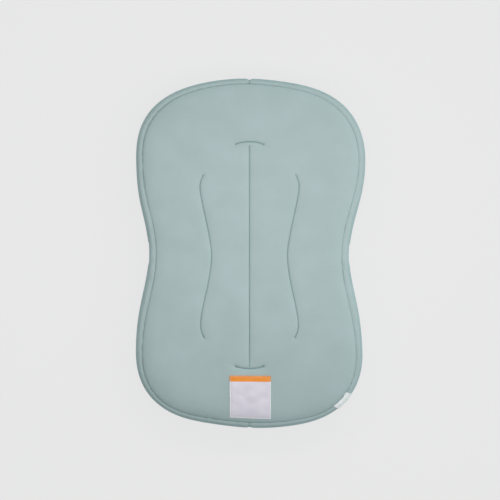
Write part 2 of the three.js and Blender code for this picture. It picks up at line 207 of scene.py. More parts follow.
def listed(*grids):
    """Grids of points as one list, each grid after the other."""
    return np.concatenate([grid.reshape(-1, grid.shape[-1]) for grid in grids])


# Sewing pulled the lounger a little askew at nine places along its edge, each one by its own amount.
uneven_reach = 75 * MM
uneven_places = np.array([
    [242, 189], [78, 364], [-97, 362], [-245, 185], [-217, -39], [-78, -366], [157, -338],
    [235, -148], [215, -38],
]) * MM
uneven_pulls = np.array([
    [1.9, 0], [-0.5, -3], [0.3, -1.3], [3.7, 0], [-1.4, 0], [0.7, 4.5], [1.8, -3], [-2.2, -0.3],
    [-0.9, -0.1],
]) * MM


def as_sewn(points):
    """Points as the sewn lounger holds them, never quite evenly. Each pull moves what lies near its
    place, with the weight exp(-(distance / reach)^2), on every piece alike."""
    near = np.linalg.norm(points[:, None, :2] - uneven_places, axis=2) / uneven_reach
    return points + at_height(np.exp(-near ** 2) @ uneven_pulls, 0)


weld_distance, sharp_angle = 0.002 * MM, np.radians(50)


def new_piece(name, points, faces, cut=None, painted_crease_shade=None):
    """A piece from points and faces, with shared points welded and its faces turned outwards. cut is
    each point's place on the flat cloth in metres, kept as a UV map, and the last argument how much
    shade, from 0 to 1, is painted on it where it lies down in creases."""
    mesh = bpy.data.meshes.new(name)
    mesh.from_pydata(as_sewn(points).tolist(), [], faces)
    if cut is not None:
        corner = np.empty(len(mesh.loops), np.int32)
        mesh.loops.foreach_get("vertex_index", corner)
        flat = mesh.uv_layers.new(name="cut")
        flat.data.foreach_set("uv", cut[corner].astype(np.float32).ravel())
    # The attribute carries painted shade: how far from 0 to 1 the colour is darkened in creases.
    if painted_crease_shade is not None:
        depth = mesh.attributes.new("painted_crease_shade", "FLOAT", "POINT")
        depth.data.foreach_set("value", painted_crease_shade.astype(np.float32))
    shape = bmesh.new()
    shape.from_mesh(mesh)
    bmesh.ops.remove_doubles(shape, verts=shape.verts, dist=weld_distance)
    bmesh.ops.recalc_face_normals(shape, faces=shape.faces)
    shape.to_mesh(mesh)
    shape.free()
    mesh.shade_smooth()
    mesh.set_sharp_from_angle(angle=sharp_angle)
    piece = bpy.data.objects.new(name, mesh)
    bpy.context.scene.collection.objects.link(piece)
    return piece


filling_inset, fibre_lump, lump_length = 5 * MM, 0.6 * MM, 45 * MM
filling_count, filling_steps = 150, 8
filling_top = panel_underside - filling_inset

stations = stations_at(even_places(filling_count))
row, across = stations[2:]
roll = ring_section(stations, filling_inset, filling_steps)
roll[:, 0, 2] = filling_top
roll[:, -1, :2] += (seam_allowance + 2 * seat_gap) * across
ledge = at_height(row + 2 * seam_allowance * across, filling_top)
roll = whole_loop(np.concatenate([roll, ledge[:, None]], axis=1))
to_middle = roll.mean(1, keepdims=True) - roll
to_middle /= np.linalg.norm(to_middle, axis=2, keepdims=True)
roll += to_middle * (fibre_lump * (1 + waves(roll, lump_length, seed=3)))[..., None]
roll_numbers = np.pad(numbered(roll), ((0, 1), (0, 1)), mode="wrap")
filling = new_piece("ring_filling", listed(roll), cells(roll_numbers).tolist())


class Yarn:
    """A socket in a material's nodes. Arithmetic on it adds Math nodes, and node() any other."""

    def __init__(self, tree, socket=None):
        self.tree, self.socket = tree, socket

    def node(self, kind, settings, inputs, output=0):
        """One of a new node's outputs, once its settings and its inputs are in place."""
        made = self.tree.nodes.new("ShaderNode" + kind)
        for name, value in settings.items():
            setattr(made, name, value)
        for name, value in inputs.items():
            if isinstance(value, Yarn):
                self.tree.links.new(value.socket, made.inputs[name])
            else:
                made.inputs[name].default_value = value
        return Yarn(self.tree, made.outputs[output] if made.outputs else None)

    def math(self, operation, *others):
        return self.node("Math", {"operation": operation}, dict(enumerate((self, *others))))

    def __add__(self, other):
        return self.math("ADD", other)

    def __sub__(self, other):
        return self.math("SUBTRACT", other)

    def __rsub__(self, other):
        return self.node("Math", {"operation": "SUBTRACT"}, {0: other, 1: self})

    def __mul__(self, other):
        return self.math("MULTIPLY", other)

    __radd__, __rmul__ = __add__, __mul__

    def mixed(self, low, high):
        """Two colours mixed by this mask: the Mix node has them as inputs 6 and 7 and output 2."""
        return self.node("Mix", {"data_type": "RGBA"}, {0: self, 6: low, 7: high}, 2)

    def bump(self, strength, distance):
        """The surface raised by this height, which is distance where it is 1."""
        return self.node("Bump", {}, {"Height": self, "Strength": strength, "Distance": distance})

    def noise(self, scale, detail):
        """Noise over the piece's own place, with scale waves to the metre."""
        place = self.node("TexCoord", {}, {}, "Object")
        return self.node("TexNoise", {}, {"Vector": place, "Scale": scale, "Detail": detail})

    def on_cut(self):
        """The place on the flat cloth, in metres: its first direction, and its second."""
        apart = self.node("SeparateXYZ", {}, {"Vector": self.node("TexCoord", {}, {}, "UV")})
        return apart, Yarn(self.tree, apart.socket.node.outputs["Y"])


def light(red, green, blue):
    """A colour of 0 to 255 as linear light c, by the standard curve: c / 12.92 at its dark end, and
    ((c + 0.055) / 1.055)^2.4 above it."""
    seen = np.array([red, green, blue]) / 255
    return (*np.where(seen <= 0.04045, seen / 12.92, ((seen + 0.055) / 1.055) ** 2.4).tolist(), 1)


def finish(name, build, uniform):
    """A material of one Principled shader. build takes a start and gives the sockets that change
    over the surface, and the uniform values go straight onto the shader."""
    made = bpy.data.materials.new(name)
    made.use_nodes = True
    made.node_tree.nodes.clear()
    start = Yarn(made.node_tree)
    shader = start.node("BsdfPrincipled", {}, uniform | build(start))
    start.node("OutputMaterial", {}, {"Surface": shader})
    return made


def sewn_in(piece, material):
    """Gives a piece its finish, and lets it ride with the lounger."""
    piece.data.materials.append(material)
    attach(piece, "root")


def fibre_sockets(start):
    """Loose white fibre: a fine tangle that shades and roughens the roll."""
    tangle = start.noise(scale=420, detail=4)
    colour = tangle.mixed(light(214, 212, 204), light(246, 245, 240))
    return {"Base Color": colour, "Normal": tangle.bump(strength=0.8, distance=1 * MM)}


sewn_in(filling, finish("white_fibre", fibre_sockets, {"Roughness": 1.0}))
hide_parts("bolster_fill")

# Covers: two halves of sage cotton knit wrapped round the filling and joined over it at the head and
# the foot. They are sewn to the base panel at the rim and to the sling inside, and stuffed tight, so
# the knit swells between its seams and gathers a little along them.

cover_thickness, full_shoulder = 2 * MM, 0.41
join_depths, join_reach = (1.6 * MM, 0.7 * MM), 10 * MM
groove_depth, groove_reach, right_groove = 1.5 * MM, 1.1 * MM, 0.5
# How strongly shade is painted into the knit's colour: at the rim seam, and at the head and foot joins.
seam_shade, join_shade = 0.2, 0.6
cover_stations, cover_steps = 341, 22
settle_stations, settle_steps = 121, 12
cloth_frames, cloth_quality, cloth_weight = 20, 6, 0.15
cloth_stretching, cloth_shearing, cloth_bending = 18, 8, 0.6
cover_swell, cover_slack, cover_most, floor_hold = 1.6, 0.02, 5 * MM, 0.6
most_sunk, most_swollen = 0.5 * MM, 1.4 * MM
gather_depth, gather_reach, gather_length, gather_draw = 0.2 * MM, 9 * MM, 13 * MM, 0.3


def settled(rest, held, swell, slack, most):
    """A grid of cloth blown up for cloth_frames frames: rest is its points, held how firmly each is
    sewn down, swell the pressure, and slack how much longer the cloth is cut than its place. Gives
    each point's move, never more than most."""
    spots = np.round(rest.reshape(-1, 3), decimals=7)
    places, index = np.unique(spots, axis=0, return_inverse=True)
    index = index.ravel()
    corners = cells(index.reshape(rest.shape[:2]))[:, ::-1].tolist()
    faces = [list(dict.fromkeys(corner)) for corner in corners]
    firmness = np.zeros(len(places))
    np.maximum.at(firmness, index, held.ravel())
    mesh = bpy.data.meshes.new("settling")
    mesh.from_pydata(places.tolist(), [], [face for face in faces if len(face) > 2])
    cloth = bpy.data.objects.new("settling", mesh)
    bpy.context.scene.collection.objects.link(cloth)
    sewn = cloth.vertex_groups.new(name="sewn")
    for level in np.unique(firmness[firmness > 0]):
        sewn.add(np.flatnonzero(firmness == level).tolist(), float(level), "REPLACE")
    settle = cloth.modifiers.new("settle", "CLOTH")
    settle.settings.quality = cloth_quality
    settle.settings.mass = cloth_weight
    settle.settings.tension_stiffness = cloth_stretching
    settle.settings.compression_stiffness = cloth_stretching
    settle.settings.shear_stiffness = cloth_shearing
    settle.settings.bending_stiffness = cloth_bending
    settle.settings.vertex_group_mass = "sewn"
    settle.settings.shrink_min = -slack
    settle.settings.use_pressure = True
    settle.settings.uniform_pressure_force = swell
    settle.settings.effector_weights.gravity = 0
    settle.point_cache.frame_start, settle.point_cache.frame_end = 1, cloth_frames
    for step in range(1, cloth_frames + 1):
        bpy.context.scene.frame_set(step)
    shown = cloth.evaluated_get(bpy.context.evaluated_depsgraph_get()).data
    moved = np.empty(places.size, np.float32)
    shown.vertices.foreach_get("co", moved)
    bpy.data.objects.remove(cloth)
    bpy.data.meshes.remove(mesh)
    bpy.context.scene.frame_set(1)
    move = (moved.reshape(-1, 3) - places)[index].reshape(rest.shape)
    way = np.linalg.norm(move, axis=2, keepdims=True)
    return move * np.minimum(1, most / np.maximum(way, 1e-9))


def between(values, at, axis=0):
    """A row of samples read at fractional places, on a cubic through the four nearest."""
    values = np.moveaxis(values, axis, 0)
    first = np.clip(np.floor(at).astype(int), 0, len(values) - 2)
    t = (at - first).reshape(-1, *[1] * (values.ndim - 1))
    a, b, c, d = (values[np.clip(first + step, 0, len(values) - 1)] for step in (-1, 0, 1, 2))
    read = b + t / 2 * (c - a + t * (2 * a - 5 * b + 4 * c - d + t * (3 * (b - c) + d - a)))
    return np.moveaxis(read, 0, axis)


def outwards(grid):
    """The unit normal at each point of a grid: its two directions' cross product."""
    normal = np.cross(np.gradient(grid, axis=0), np.gradient(grid, axis=1))
    return normal / np.maximum(np.linalg.norm(normal, axis=2, keepdims=True), 1e-12)


def rightness(x):
    """From 0 at the middle and on the left towards 1 on the right: x / sqrt(x^2 + (width / 4)^2)."""
    return np.clip(x / np.sqrt(x ** 2 + (overall_width / 4) ** 2), 0, 1)


def rim_groove(x, from_rim):
    """How deep the groove at the rim seam is, from 0 to 1: exp(-distance / reach), and shallower
    towards the right, where the panel and the covers lie flatter."""
    return (1 - (1 - right_groove) * rightness(x)) * np.exp(-from_rim / groove_reach)


def dipped_at_joins(outline):
    """How far each station is drawn in: depth (1 - x / reach)^2 near the head's and foot's middle."""
    near = np.clip(1 - outline[:, 0] / join_reach, 0, 1)
    return np.where(outline[:, 1] > 0, *join_depths) * near ** 2


def cover_moves():
    """How the stuffed covers swell: the whole ring as one cloth, sewn at the rim, at the sling, along
    the joins and more loosely on the floor. Gives the right side's moves and the left side's."""
    stations = stations_at(even_places(settle_stations))
    rest = whole_loop(ring_section(stations, 0, settle_steps, full_shoulder))
    rest = np.concatenate([rest, rest[:1]])
    held = np.zeros(rest.shape[:2])
    held[:, 2 * settle_steps:2 * settle_steps + 2] = floor_hold
    held[:, [0, -1]] = 1
    held[[0, settle_stations - 1, -1]] = 1
    moves = settled(rest, held, cover_swell, cover_slack, cover_most)
    return moves[:settle_stations], moves[:settle_stations - 2:-1]


def kept_to(side, points):
    """Keeps points on their own side of the middle, and above the floor."""
    points[..., 0] = side * np.maximum(side * points[..., 0], seat_gap / 2)
    points[..., 2] = np.maximum(points[..., 2], 0)
    return points


def cover_skin(side, moves):
    """A cover's outer points: the ring's section, the coarse cloth's moves read between its points
    with the part along the way out as most tanh(part / most), gathers of depth times waves along both
    seams, and the groove at the rim. Gives the points, the way out of them, and their place on the
    cut cloth."""
    stations = stations_at(even_places(cover_stations))
    skin = ring_section(stations, dipped_at_joins(stations[0]), cover_steps, full_shoulder)
    first_columns = 0, settle_steps, 2 * settle_steps + 1, 3 * settle_steps + 1
    quarters = [np.linspace(start, start + settle_steps, cover_steps + 1) for start in first_columns]
    columns = np.concatenate([quarters[0], quarters[1][1:], quarters[2], quarters[3][1:]])
    rows = np.linspace(0, settle_stations - 1, cover_stations)
    skin = skin if side > 0 else other_side(skin)
    normal = outwards(skin) * side
    along = lengths_along(stations[0])[:, None] * np.ones(skin.shape[1])
    steps = np.linalg.norm(np.diff(skin, axis=1, prepend=skin[:, :1]), axis=2)
    across = np.cumsum(steps, axis=1)
    from_seam = np.minimum(across, across[:, -1:] - across)
    grip = np.exp(-from_seam / gather_reach) * (1 - np.exp(-from_seam / groove_reach))
    gathers = waves(np.stack([along, from_seam * gather_draw], -1), gather_length, seed=5 + side)
    move = between(between(moves, rows), columns, 1)
    swell = (move * normal).sum(2)
    lift = gather_depth * grip * gathers - groove_depth * rim_groove(skin[..., 0], across)
    most = np.where(swell > 0, most_swollen, most_sunk)
    lift += most * np.tanh(swell / most) - swell
    skin = skin + move + normal * lift[..., None]
    return kept_to(side, skin), normal, np.stack([along, across], -1)


def walled(face, back, ends=True):
    """Faces of a closed piece between two grids of points with the same borders: both grids, a wall
    along each side, and one at each end where the grids don't close there by themselves."""
    front = numbered(face)
    rear = numbered(back, front.size)
    faces = [cells(front), cells(rear)[:, ::-1]]
    faces += [cells(np.stack([front[:, side], rear[:, side]])) for side in (0, -1)]
    if ends:
        faces += [cells(np.stack([front[end], rear[end]])) for end in (0, -1)]
    return np.concatenate(faces).tolist()


knit_wale, knit_course, knit_relief = 1.25 * MM, 0.95 * MM, 0.12 * MM
stitch_slant, stitch_share, fuzz_share = 2.4, 0.3, 0.5


def knit_sockets(start):
    """Sage cotton knit: columns of small V stitches over the cut cloth, a fine fuzz, a very faint
    mottle in the dye, and painted shade, a darker colour, down in the creases and seams."""
    along, across = start.on_cut()
    lean = ((along * (1 / knit_wale)).math("FRACT") - 0.5).math("ABSOLUTE") * 2
    stitch = (across * (2 * np.pi / knit_course) + lean * stitch_slant).math("SINE")
    relief = (1 - lean * lean) * (1 - stitch_share + stitch * stitch_share)
    height = relief + start.noise(scale=1400, detail=2) * fuzz_share
    painted_crease_shade = start.node("Attribute", {"attribute_name": "painted_crease_shade"}, {}, "Fac")
    cloth = start.noise(scale=16, detail=3).mixed(light(168, 189, 186), light(182, 198, 201))
    # Painted shade: the knit's colour is darkened towards this deep sage where the painted crease shade
    # attribute is high, in creases, seams and hidden tucks.
    return {"Base Color": painted_crease_shade.mixed(cloth, light(120, 151, 153)),
            "Normal": height.bump(strength=0.5, distance=knit_relief)}


sage_knit = finish("sage_knit", knit_sockets, {
    "Roughness": 0.9, "Sheen Weight": 0.2, "Sheen Roughness": 0.5, "Sheen Tint": light(126, 196, 200),
    "Specular IOR Level": 0.2})
swelling = cover_moves()
row, across = stations_at(even_places(cover_stations))[2:]
tuck = at_height(row + seam_allowance * across, seam_level)
cover_skins = {}
for side, name, node, moves in (
    (1, "ring_cover_right", "bolster_cover_right", swelling[0]),
    (-1, "ring_cover_left", "bolster_cover_left", swelling[1]),
):
    skin, normal, cut = cover_skin(side, moves)
    outer_tuck = tuck * [side, 1, 1]
    inner_tuck = outer_tuck - [0, 0, cover_thickness]
    face = np.concatenate([skin, outer_tuck[:, None]], axis=1)
    back = np.concatenate([skin - normal * cover_thickness, inner_tuck[:, None]], axis=1)
    face, back = kept_to(side, face), kept_to(side, back)
    cut = np.concatenate([cut, cut[:, -1:] + [0, seam_allowance]], axis=1)
    # Painted shade: the cover's colour darkened near the rim seam and the joins, and fully on the tuck
    # and the inside, which lie out of sight.
    painted_shade = seam_shade * np.exp(-np.linalg.norm(skin - skin[:, :1], axis=2) / groove_reach)
    painted_shade += join_shade * np.exp(-np.abs(skin[..., 0]) / groove_reach)
    painted_shade = np.pad(np.clip(painted_shade, 0, 1), ((0, 0), (0, 1)), constant_values=1)
    cover = new_piece(name, listed(face, back), walled(face, back), listed(cut, cut),
                      np.concatenate([painted_shade.ravel(), np.ones(painted_shade.size)]))
    sewn_in(cover, sage_knit)
    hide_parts(node)
    cover_skins[side] = skin, normal

# Sling: two halves of the same knit with a thin layer of wadding, stretched across the hollow of the
# ring. They are sewn to the covers all round and through the base panel along the middle.

sling_billow, billow_reach = 4 * MM, 40 * MM
sling_wave, sling_wave_length, sling_shade_reach = 0.5 * MM, 60 * MM, 1.5 * MM
sling_stations, sling_columns, row_curve_points = 241, 30, 141


def eased(count, pull=0.85):
    """Shares from 0 to 1 that lie closer at both ends: u - pull sin(2 pi u) / (2 pi)."""
    u = np.linspace(0, 1, count)
    return u - pull * np.sin(2 * np.pi * u) / (2 * np.pi)


def distance(plan, line):
    """The least distance from plan points to a line of points: to the nearest place on each step."""
    start, step = line[:-1], np.diff(line, axis=0)
    offset = plan[..., None, :] - start
    share = np.clip((offset * step).sum(-1) / (step ** 2).sum(-1), 0, 1)
    return np.linalg.norm(offset - share[..., None] * step, axis=-1).min(-1)


row, across = stations_at(even_places(sling_stations))[2:]
edge = row + seam_allowance * across
level = row * [0, 1]
half_width, whole_length = edge[:, 0].max(), edge[0, 1] - edge[-1, 1]

half_plan = level[:, None] + (row - level)[:, None] * eased(sling_columns)[None, :, None]
near_seam = np.minimum(half_plan[..., 0], distance(half_plan, drawn(row_spans, row_curve_points)))
fullness = np.clip(near_seam / billow_reach, 0, 1)
billow = sling_billow * (1 - (1 - fullness) ** 2)
billow += sling_wave * waves(half_plan, sling_wave_length, seed=11) * fullness
billow = np.pad(billow, ((0, 0), (0, 1)))
# Painted shade: the sling's colour darkened close to its seam with the covers.
painted_shade = np.exp(-np.pad(near_seam, ((0, 0), (0, 1))) / sling_shade_reach)
for side, name, node in (
    (1, "sling_right", "sling_panel_right"),
    (-1, "sling_left", "sling_panel_left"),
):
    plan = np.concatenate([half_plan, edge[:, None]], axis=1) * [side, 1]
    shown = kept_to(side, at_height(plan, sling_top - sling_thickness - billow))
    hidden = kept_to(side, at_height(plan, sling_top))
    sling = new_piece(name, listed(shown, hidden), walled(shown, hidden), listed(plan, plan),
                      np.tile(painted_shade.ravel(), 2))
    sewn_in(sling, sage_knit)
    "ring_cover_right" if side > 0 else "ring_cover_left"
    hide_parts(node)

# Base panel: one flat hourglass of the same knit over a thin layer of wadding. It is sewn to the
# covers at the rim and stitched through to the sling along five rows, so it puffs softly between
# them, dips to each row, and rolls over into the rim seam.

crease_depth, crease_reach = 1.4 * MM, 5.5 * MM
# slit_shade: how strongly shade is painted into the knit's colour along the stitched rows.
slit_depth, slit_reach, slit_shade = 1.5 * MM, 0.8 * MM, 0.6
rim_rolls, roll_reach = (11 * MM, 3 * MM, 8 * MM), 14 * MM
crown_rise, crown_reach, least_wadding = 1.5 * MM, 40 * MM, 1 * MM
head_row_half, foot_row_half, middle_gap = 30.5 * MM, 29 * MM, 4 * MM
side_row_top, side_row_bottom = 164.5 * MM, 179.5 * MM
arc_pull, arc_reach, dimple_reach, foot_row_spread = 0.8 * MM, 2.4 * MM, 2.8 * MM, 1.5
allowance_width, allowance_mark = 7 * MM, 0.1 * MM
panel_stations, inside_columns, outside_columns = 361, 34, 44
row_points, rim_points = 401, 161
settle_inside, settle_outside, wadding_sweeps = 12, 15, 8
panel_swell, panel_slack, panel_most = 0.25, 0.002, 1.2 * MM
broad_wave, broad_length, broad_reach = 0.45 * MM, 150 * MM, 36 * MM
pucker_depth, pucker_reach, pucker_length, smooth_middle = 0.14 * MM, 12 * MM, 15 * MM, 25 * MM


def panel_plan(stations, inside, outside):
    """Plan points from the left rim to the right one at each station: across the stitched hourglass
    at the row's height, then from the row out to the rim."""
    rim, row, across = stations[1:]
    edge = rim - seat_gap / 2 * across
    level = row * [0, 1]
    inner = level[:, None] + (row - level)[:, None] * eased(inside)[None, :, None]
    outer = row[:, None] + (edge - row)[:, None] * eased(outside)[None, 1:, None]
    right = np.concatenate([inner, outer], axis=1)
    return np.concatenate([other_side(right[:, :0:-1]), right], axis=1)


def stitched(row):
    """Which points of the hourglass's right half are stitched: by the side row, the head row and the
    foot row."""
    on_side = (row[:, 1] <= side_row_top) & (row[:, 1] >= -side_row_bottom)
    on_head = (row[:, 1] > 0) & (row[:, 0] <= head_row_half)
    on_foot = (row[:, 1] < 0) & (row[:, 0] <= foot_row_half)
    return on_side, on_head, on_foot


def panel_moves():
    """How the panel puffs: one cloth sewn all round the rim and along its rows. The moves go on past
    the head and the foot with those of the other side, and the wadding evens them out lengthwise:
    each becomes (before + 2 own + after) / 4, a few times over."""
    stations = stations_at(even_places(settle_stations))
    rest = at_height(panel_plan(stations, settle_inside, settle_outside), overall_thickness)
    middle = settle_inside + settle_outside - 2
    on_side = stitched(stations[2])[0]
    on_ends = stations[2][:, 0] <= head_row_half
    held = np.zeros(rest.shape[:2])
    held[:, [0, -1]] = 1
    held[~on_ends, middle] = 1
    for column in (middle - settle_inside + 1, middle + settle_inside - 1):
        held[on_side | on_ends, column] = 1
    held[[0, -1], settle_outside - 1:-settle_outside + 1] = 1
    moves = settled(rest, held, panel_swell, panel_slack, panel_most)
    for sweep in range(wadding_sweeps):
        wide = np.concatenate([moves[[1], ::-1], moves, moves[[-2], ::-1]])
        moves = (wide[:-2] + 2 * wide[1:-1] + wide[2:]) / 4
        moves[held == 1] = 0
    return np.concatenate([moves[[1], ::-1], moves, moves[[-2], ::-1]])


stations = stations_at(even_places(panel_stations))
plan = panel_plan(stations, inside_columns, outside_columns)
folded = np.stack([np.abs(plan[..., 0]), plan[..., 1]], -1)
row_line = drawn(row_spans, row_points)
side_row, head_row, foot_row = (row_line[stitched_there] for stitched_there in stitched(row_line))
middle_row = np.array([[0, head_row[-1, 1] - middle_gap], [0, foot_row[0, 1]]])
from_rim = distance(folded, drawn(rim_spans, rim_points))
from_arc = np.minimum(distance(folded, head_row), distance(folded, foot_row) / foot_row_spread)
from_row = np.minimum(from_arc, distance(folded, middle_row))
from_row = np.minimum(from_row, distance(folded, side_row[::2]))

along = lengths_along(stations[1])[:, None] * np.sign(plan[..., 0])
off_middle = 1 - np.exp(-(folded[..., 0] / smooth_middle) ** 2)
puckers = waves(along[..., None], pucker_length, seed=21) * off_middle * np.exp(-from_rim / pucker_reach)
rim_roll = np.interp(plan[..., 1], np.linspace(-0.5, 0.5, 3) * overall_length, rim_rolls)
groove = rim_groove(plan[..., 0], from_rim)
from_allowance = (from_rim - allowance_width) / groove_reach

height = rim_level + rim_roll * (1 - np.exp(-from_rim / roll_reach))
height += crown_rise * (1 - np.exp(-from_rim / crown_reach))
height -= groove_depth * groove
height -= crease_depth * np.exp(-from_row / crease_reach)
height -= slit_depth * np.exp(-from_row / slit_reach)
height -= arc_pull * np.exp(-(from_arc / arc_reach) ** 2)
height -= allowance_mark * rightness(plan[..., 0]) * np.exp(-from_allowance ** 2)
for end, right_depth, left_depth in (
    (head_row[-1], 1.5 * MM, 1.2 * MM),
    (foot_row[0], 1.5 * MM, 1 * MM),
    (side_row[0], 0.9 * MM, 1.2 * MM),
    (side_row[-1], 1.2 * MM, 1.1 * MM),
):
    for side, depth in ((1, right_depth), (-1, left_depth)):
        from_end = np.linalg.norm(plan - end * [side, 1], axis=2)
        height -= depth * np.exp(-(from_end / dimple_reach) ** 2)
height += broad_wave * waves(plan, broad_length, seed=8) * np.clip(from_rim / broad_reach, 0, 1)
height += pucker_depth * puckers * (1 - np.exp(-from_rim / groove_reach))
panel_face = at_height(plan, height)
left_half = np.concatenate([
    np.linspace(0, settle_outside - 1, outside_columns)[:-1],
    np.linspace(0, settle_inside - 1, inside_columns) + settle_outside - 1])
columns = np.concatenate([left_half, 2 * left_half[-1] - left_half[-2::-1]])
rows = np.linspace(1, settle_stations, panel_stations)
panel_face += between(between(panel_moves(), rows), columns, 1)

# The back is plain and out of view, so four columns of points are enough for it.
above_back = panel_face[:, [0, outside_columns // 2, -outside_columns // 2, -1]]
back_height = np.minimum(panel_underside, above_back[..., 2] - least_wadding)
panel_back = at_height(above_back[..., :2], back_height)
# Painted shade: the panel's colour darkened along the stitched rows and in the rim groove; the back gets
# none.
painted_crease_shade = np.clip(slit_shade * np.exp(-from_row / slit_reach) + seam_shade * groove, 0, 1)
panel_points = listed(panel_face, panel_back)
panel = new_piece(
    "base_cloth", panel_points, walled(panel_face, panel_back, ends=False), panel_points[:, :2],
    np.concatenate([painted_crease_shade.ravel(), np.zeros(panel_back[..., 0].size)]))
sewn_in(panel, sage_knit)
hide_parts("base_panel")

# Stitches: sage polyester sewing thread, lockstitched. It shows along the five rows of the base, at
# the bottom of the rim seam, where the sling meets the ring, and where the two covers join.

stitch_length, stitch_gap, thread_width = 3 * MM, 0.6 * MM, 0.7 * MM
thread_rise, thread_sides = 0.3 * thread_width, 6
sling_seam_inset, sling_seam_sink, join_ends = 3 * MM, 0.8 * thread_width, 2

# A stitch's five rings of points: their places along it, their widths, and how far they sink.
ring_places = np.array([0, 0.1, 0.5, 0.9, 1]) * stitch_length
ring_thickness = np.array([0.25, 0.85, 1, 0.85, 0.25]) * thread_width
ring_sinks = np.array([0.9, 0.2, 0, 0.2, 0.9]) * thread_width


def stitches(path, up):
    """Stitches along a line of points: each is a short tube with a few sides that narrows at its ends
    and sinks there into the cloth. Its rings of points lie across its way, at the middle plus radius
    (cos(turn) top + sin(turn) (way x top)), with top as near to the direction up as that allows."""
    far, up = lengths_along(path), np.broadcast_to(up, path.shape)
    count = max(int(far[-1] / (stitch_length + stitch_gap)), 1)
    middles = (np.arange(count) + 0.5) * far[-1] / count
    at = middles[:, None] + ring_places - stitch_length / 2
    place = np.stack([np.interp(at, far, path[:, axis]) for axis in range(3)], -1)
    top = np.stack([np.interp(middles, far, up[:, axis]) for axis in range(3)], -1)
    way = place[:, -1] - place[:, 0]
    way /= np.linalg.norm(way, axis=1, keepdims=True)
    top -= (top * way).sum(1, keepdims=True) * way
    top /= np.linalg.norm(top, axis=1, keepdims=True)
    turn = (np.arange(thread_sides) * 2 * np.pi / thread_sides)[:, None]
    round_ring = top[:, None] * np.cos(turn) + np.cross(way, top)[:, None] * np.sin(turn)
    middle = place - top[:, None] * ring_sinks[:, None]
    return middle[:, :, None] + round_ring[:, None] * (ring_thickness / 2)[:, None, None]


def sewn_line(name, node, lines, thread):
    """One piece of stitches along lines of points, each with its direction up, for a seam's node."""
    strands = np.concatenate([stitches(path, up) for path, up in lines])
    numbers = numbered(strands)
    tubes = cells(np.concatenate([numbers, numbers[..., :1]], axis=2)).tolist()
    caps = np.concatenate([numbers[:, 0], numbers[:, -1]]).tolist()
    piece = new_piece(name, listed(strands), tubes + caps)
    sewn_in(piece, thread)
    if node:
        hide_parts(node)


def thread_sockets(start):
    """Twisted thread: fine plies that catch the light."""
    plies = start.noise(scale=2600, detail=1)
    return {"Base Color": plies.mixed(light(138, 160, 160), light(168, 188, 187)),
            "Normal": plies.bump(strength=0.5, distance=0.1 * MM)}


sage_thread = finish("sage_thread", thread_sockets, {"Roughness": 0.6, "Sheen Weight": 0.2})
upright = np.array([0, 0, 1])
thread_lift = upright * thread_rise
row, across = stations[2:]
on_side, on_head, on_foot = stitched(row)
middle_column = inside_columns + outside_columns - 2
middle = panel_face[:, middle_column]
right = panel_face[:, middle_column + inside_columns - 1]
left = panel_face[:, middle_column - inside_columns + 1]
for name, node, path in (
    ("right_row_stitches", "right_stitch_row", right[on_side]),
    ("left_row_stitches", "left_stitch_row", left[on_side]),
    ("head_row_stitches", "head_stitch_row", np.concatenate([left[on_head][::-1], right[on_head][1:]])),
    ("foot_row_stitches", "foot_stitch_row", np.concatenate([right[on_foot], left[on_foot][-2::-1]])),
    ("centre_row_stitches", "centre_stitch_row", middle[~on_head & ~on_foot]),
):
    sewn_line(name, node, [(path + thread_lift, upright)], sage_thread)

rim_lines = [(panel_face[:, column] + thread_lift, upright) for column in (0, -1)]
sewn_line("rim_stitches", "rim_seam", rim_lines, sage_thread)

sling_path = at_height(row - sling_seam_inset * across, sling_top - sling_thickness - sling_seam_sink)
sling_lines = [(path, -upright) for path in (sling_path, other_side(sling_path))]
sewn_line("sling_stitches", "sling_seam", sling_lines, sage_thread)

for name, node, end in (
    ("head_join_stitches", "head_join_seam", 0),
    ("foot_join_stitches", "foot_join_seam", -1),
):
    joined = slice(join_ends, -join_ends)
    seam = np.mean([cover_skins[side][0][end, joined] for side in (1, -1)], axis=0)
    out = np.mean([cover_skins[side][1][end, joined] for side in (1, -1)], axis=0) * [0, 1, 1]
    out /= np.linalg.norm(out, axis=1, keepdims=True)
    sewn_line(name, node, [(seam + out * thread_rise, out)], sage_thread)

# Care patch: a bare square of white satin with a plain orange band along its upper edge. Its edges
# are turned under and sewn down on the base panel, just above the foot.

patch_width, patch_length, patch_thickness = 86.5 * MM, 91 * MM, 0.8 * MM
patch_foot_margin, patch_aside, patch_lift = 9 * MM, 1.6 * MM, 0.5 * MM
band_length, selvedge, patch_edge = 12.5 * MM, 1.8 * MM, 2.4 * MM
sewn_dip, sewn_reach = 0.35 * MM, 1.2 * MM
lay_reach, lay_margin, seam_lay_reach = 5 * MM, 0.2 * patch_length, 1.5 * MM
puff_rise, puff_length, puff_reach = 0.5 * MM, 30 * MM, 9 * MM
ripple_depth, ripple_length, ripple_reach = 0.15 * MM, 8 * MM, 6 * MM
patch_across, patch_down, patch_seam_points = 62, 68, 60


def resting_on(plan, points, reach):
    """Heights for plan points over scattered points: their heights' mean, with the weight
    exp(-(distance / reach)^2)."""
    apart = np.linalg.norm(plan[..., None, :] - points[:, :2], axis=-1)
    weight = np.exp(-(apart / reach) ** 2)
    return (weight * points[:, 2]).sum(-1) / weight.sum(-1)


